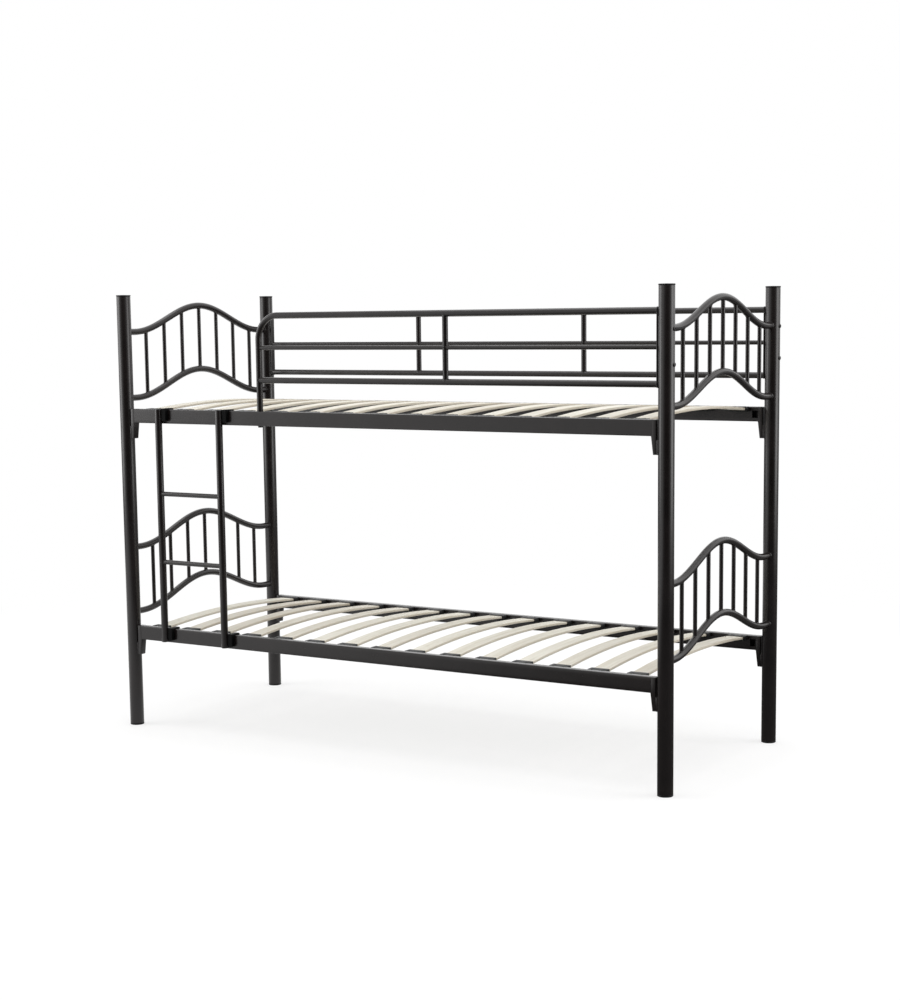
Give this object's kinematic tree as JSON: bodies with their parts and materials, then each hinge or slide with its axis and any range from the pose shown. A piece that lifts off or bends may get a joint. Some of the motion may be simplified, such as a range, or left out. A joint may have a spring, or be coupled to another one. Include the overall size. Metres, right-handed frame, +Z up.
{
  "type": "bunk bed with ladder",
  "caption": "Tubular steel bunk bed with arched end panels, guard rails on the upper bunk, cambered slat decks and a ladder that hooks over the side rails.",
  "frame": {"origin": "on the floor, at the middle of the bed's footprint, ladder included", "axes": "+X along the bed away from the ladder's end, +Y across the bed from the ladder's side to the wall side, +Z up"},
  "size_m": [2.0952, 0.8648, 1.5],
  "materials": {
    "black_steel": "black satin powder coat",
    "black_plastic": "moulded black plastic, fine matt grain",
    "birch_slat": "pale sanded birch plywood, clear sealed"
  },
  "bodies": {
    "bed_frame": {"end_panel_lower_left": "black_steel", "end_panel_lower_right": "black_steel", "end_panel_upper_left": "black_steel", "end_panel_upper_right": "black_steel", "foot_front_left": "black_plastic", "foot_front_right": "black_plastic", "foot_rear_left": "black_plastic", "foot_rear_right": "black_plastic", "guard_leg_bolt": "black_steel", "guard_rail_front": "black_steel", "guard_rail_rear": "black_steel", "post_cap_front_left": "black_plastic", "post_cap_front_right": "black_plastic", "post_cap_rear_left": "black_plastic", "post_cap_rear_right": "black_plastic", "post_front_left": "black_steel", "post_front_right": "black_steel", "post_rear_left": "black_steel", "post_rear_right": "black_steel", "side_rail_lower_front": "black_steel", "side_rail_lower_rear": "black_steel", "side_rail_upper_front": "black_steel", "side_rail_upper_rear": "black_steel", "slat_lower_01": "birch_slat", "slat_lower_02": "birch_slat", "slat_lower_03": "birch_slat", "slat_lower_04": "birch_slat", "slat_lower_05": "birch_slat", "slat_lower_06": "birch_slat", "slat_lower_07": "birch_slat", "slat_lower_08": "birch_slat", "slat_lower_09": "birch_slat", "slat_lower_10": "birch_slat", "slat_lower_11": "birch_slat", "slat_lower_12": "birch_slat", "slat_lower_13": "birch_slat", "slat_lower_14": "birch_slat", "slat_lower_15": "birch_slat", "slat_upper_01": "birch_slat", "slat_upper_02": "birch_slat", "slat_upper_03": "birch_slat", "slat_upper_04": "birch_slat", "slat_upper_05": "birch_slat", "slat_upper_06": "birch_slat", "slat_upper_07": "birch_slat", "slat_upper_08": "birch_slat", "slat_upper_09": "birch_slat", "slat_upper_10": "birch_slat", "slat_upper_11": "birch_slat", "slat_upper_12": "birch_slat", "slat_upper_13": "birch_slat", "slat_upper_14": "birch_slat", "slat_upper_15": "birch_slat"},
    "ladder": {"ladder_frame": "black_steel", "ladder_hook_lower_left": "black_plastic", "ladder_hook_lower_right": "black_plastic", "ladder_hook_upper_left": "black_plastic", "ladder_hook_upper_right": "black_plastic"}
  },
  "joints": [
    {"name": "ladder_lift", "type": "slide", "parent": "bed_frame", "child": "ladder", "axis": [0, 0, 1], "range_m": [0, 0.06]}
  ]
}
